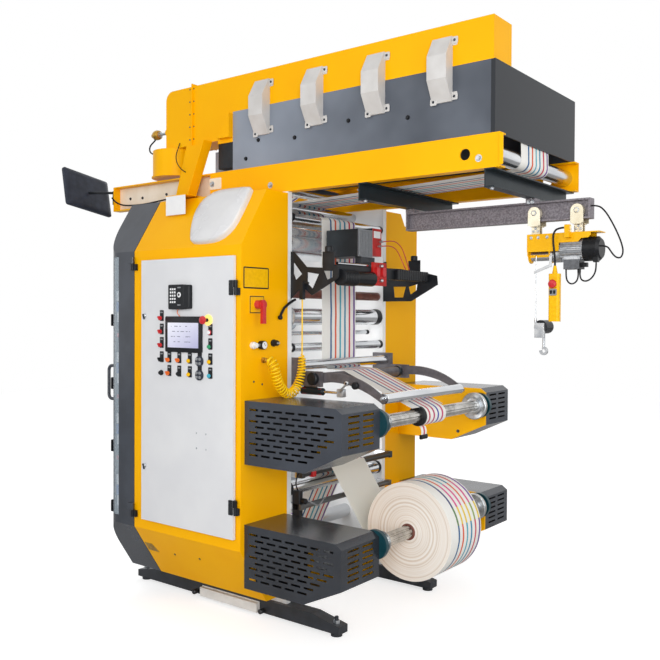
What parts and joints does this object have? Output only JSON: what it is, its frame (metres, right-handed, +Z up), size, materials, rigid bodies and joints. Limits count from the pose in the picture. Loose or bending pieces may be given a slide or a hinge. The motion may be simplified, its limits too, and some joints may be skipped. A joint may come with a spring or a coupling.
{
  "type": "stack type flexographic printing press",
  "caption": "Stack printing press with bevelled side housings, overhead drying tunnel, reel arms, control door and a travelling reel hoist.",
  "frame": {"origin": "middle of the machine's footprint, on the floor", "axes": "+X along the machine towards the reels and the hoist, +Y from the operator's side to the drive side, +Z up"},
  "size_m": [3.5738, 1.913, 3.181],
  "materials": {
    "arm_casting": "grey painted casting",
    "black_enamel": "semi-gloss paint",
    "brown_rubber": "ground rubber",
    "clear_sheet": "clear polycarbonate",
    "control_plastic": "moulded plastic",
    "galvanised_steel": "zinc coated",
    "graphite_enamel": "satin powder coat",
    "hoist_alloy": "die cast",
    "pale_enamel": "fine satin powder coat",
    "paper": "uncoated paper",
    "polished_steel": "hard chrome, ground",
    "red_plastic": "moulded plastic",
    "teal_enamel": "gloss paint",
    "white_plastic": "moulded plastic",
    "yellow_enamel": "smooth gloss powder coat",
    "yellow_plastic": "moulded plastic"
  },
  "bodies": {
    "root": {"frame_plates": "pale_enamel", "frame_ties": "pale_enamel", "near_cabinet": "yellow_enamel", "far_cabinet": "yellow_enamel", "outriggers": "black_enamel", "tunnel_rails": "yellow_enamel", "left_rails": "yellow_enamel", "dryer_hood": "graphite_enamel", "hot_air_duct": "yellow_enamel", "air_elbows": "pale_enamel", "blower_drum": "yellow_enamel", "duct_struts": "yellow_enamel", "cross_channels": "black_enamel", "hoist_beam": "galvanised_steel", "paper_web": "paper", "near_reel_guards": "graphite_enamel", "far_reel_guards": "graphite_enamel", "arm_plates": "yellow_enamel", "shaft_collars": "teal_enamel", "pivot_bearings": "arm_casting", "camera_brackets": "black_enamel", "camera_unit": "control_plastic", "shell_cover": "white_plastic", "print_decks": "polished_steel", "idle_rollers": "polished_steel", "hinge_brackets": "black_enamel", "main_switch": "yellow_plastic", "air_fittings": "white_plastic", "monitor_mount": "black_enamel", "air_gun": "control_plastic", "feed_cable": "control_plastic", "air_hose_coil": "yellow_plastic", "air_hose_line": "yellow_plastic"},
    "control_door": {"cabinet_door": "pale_enamel", "door_controls": "control_plastic"},
    "near_guard": {"near_guard_frame": "graphite_enamel", "near_guard_window": "clear_sheet"},
    "far_guard": {"far_guard_frame": "graphite_enamel", "far_guard_window": "clear_sheet"},
    "isolator_grip": {"switch_handle": "red_plastic"},
    "unwind": {"unwind_shaft": "polished_steel", "paper_roll": "paper"},
    "rewind": {"rewind_shaft": "polished_steel", "rewind_roll": "paper"},
    "swing": {"swing_arms": "arm_casting"},
    "layon": {"layon_roller": "polished_steel"},
    "nip": {"nip_roller": "brown_rubber"},
    "web_turn": {"web_roller": "polished_steel"},
    "hoist": {"hoist_trolley": "yellow_enamel", "hoist_motor": "hoist_alloy", "pendant": "yellow_plastic", "pendant_cable": "control_plastic", "motor_cable_left": "control_plastic", "motor_cable_right": "control_plastic"},
    "hook": {"hoist_rope": "galvanised_steel", "hook_block": "black_enamel"},
    "monitor": {"monitor": "control_plastic"}
  },
  "joints": [
    {"name": "control_door_hinge", "type": "hinge", "parent": "root", "child": "control_door", "pos_m": [0.09202, -0.9245, 1.3], "axis": [0, 0, 1], "range_deg": [0, 115]},
    {"name": "near_guard_hinge", "type": "hinge", "parent": "root", "child": "near_guard", "pos_m": [-0.75798, -0.9245, 1.3], "axis": [0, 0, 1], "range_deg": [0, 95]},
    {"name": "far_guard_hinge", "type": "hinge", "parent": "root", "child": "far_guard", "pos_m": [-0.75798, 0.8635, 1.3], "axis": [0, 0, 1], "range_deg": [-95, 0]},
    {"name": "isolator_turn", "type": "hinge", "parent": "root", "child": "isolator_grip", "pos_m": [0.17002, -0.7905, 1.803], "axis": [1, 0, 0], "range_deg": [0, 90]},
    {"name": "unwind_spin", "type": "hinge", "parent": "root", "child": "unwind", "pos_m": [0.73202, -0.0305, 0.552], "axis": [0, 1, 0], "continuous": true},
    {"name": "rewind_spin", "type": "hinge", "parent": "root", "child": "rewind", "pos_m": [0.73202, -0.0305, 1.185], "axis": [0, 1, 0], "continuous": true},
    {"name": "swing_lift", "type": "hinge", "parent": "root", "child": "swing", "pos_m": [0.28002, -0.0305, 1.393], "axis": [0, 1, 0], "range_deg": [-40, 0]},
    {"name": "layon_spin", "type": "hinge", "parent": "swing", "child": "layon", "pos_m": [0.71702, -0.0305, 1.304], "axis": [0, 1, 0], "continuous": true},
    {"name": "nip_spin", "type": "hinge", "parent": "root", "child": "nip", "pos_m": [0.07002, -0.0305, 1.873], "axis": [0, 1, 0], "continuous": true},
    {"name": "web_roller_spin", "type": "hinge", "parent": "root", "child": "web_turn", "pos_m": [0.07002, -0.0305, 1.739], "axis": [0, 1, 0], "continuous": true},
    {"name": "hoist_travel", "type": "slide", "parent": "root", "child": "hoist", "axis": [-1, 0, 0], "range_m": [0, 0.735]},
    {"name": "hook_lift", "type": "slide", "parent": "hoist", "child": "hook", "axis": [0, 0, 1], "range_m": [-1.2, 0.22], "deforming": ["hoist_rope"]},
    {"name": "monitor_swivel", "type": "hinge", "parent": "root", "child": "monitor", "pos_m": [-1.47598, -0.4985, 2.58], "axis": [0, 0, 1], "range_deg": [-30, 30]}
  ]
}
